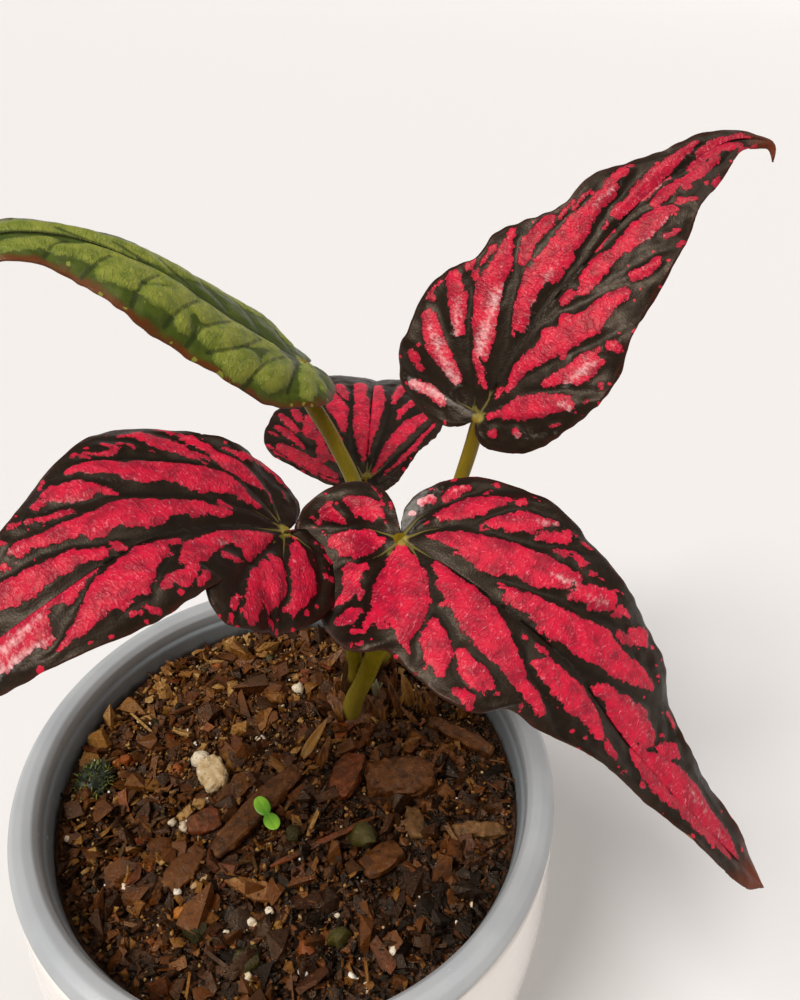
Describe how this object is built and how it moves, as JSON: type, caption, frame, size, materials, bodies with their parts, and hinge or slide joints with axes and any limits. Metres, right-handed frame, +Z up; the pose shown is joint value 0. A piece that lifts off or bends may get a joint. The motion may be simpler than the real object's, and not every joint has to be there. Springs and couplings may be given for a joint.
{
  "type": "potted begonia",
  "caption": "Potted begonia with long-tipped blotched leaves on bare stalks, rising from bark mix in a grey liner that hangs in a white outer pot.",
  "frame": {"origin": "on the pot's axis, at the underside of the outer pot's foot", "axes": "+Z up along the pot's axis; the side that the picture shows looks towards -Y, and +X is to its right"},
  "size_m": [0.1956, 0.2124, 0.2683],
  "materials": {
    "white_pot": "smooth glossy white",
    "grey_liner": "smooth satin grey",
    "growing_mix": "damp dark bark mix",
    "crown": "woody with dry papery sheaths",
    "leaf_red": "satin, pink-red blotches between near-black veins",
    "leaf_green": "satin, pale green blotches between dark green veins",
    "petiole": "smooth olive green",
    "seedling": "smooth bright green",
    "moss": "fine dark moss",
    "bark_dark": "rough dark bark",
    "bark_red": "flaky red-brown bark",
    "wood_tan": "weathered pale wood",
    "perlite": "dull off-white mineral"
  },
  "bodies": {
    "root": {"outer_pot": "white_pot", "liner": "grey_liner", "growing_mix": "growing_mix", "crown": "crown", "blade_right": "leaf_red", "blade_back": "leaf_red", "blade_left": "leaf_red", "blade_front": "leaf_red", "blade_green": "leaf_green", "petiole_right": "petiole", "petiole_back": "petiole", "petiole_left": "petiole", "petiole_front": "petiole", "petiole_green": "petiole", "seedling": "seedling", "moss_tuft": "moss", "bark_stick_long": "bark_dark", "bark_chip_dark": "bark_dark", "bark_chip_pointed": "bark_dark", "bark_lump": "bark_dark", "stick_back": "bark_dark", "bark_chip_red": "bark_red", "bark_slab_red": "bark_red", "twig": "bark_red", "stick_tan": "wood_tan", "chip_grey": "wood_tan", "perlite_chunk": "perlite"}
  },
  "joints": []
}
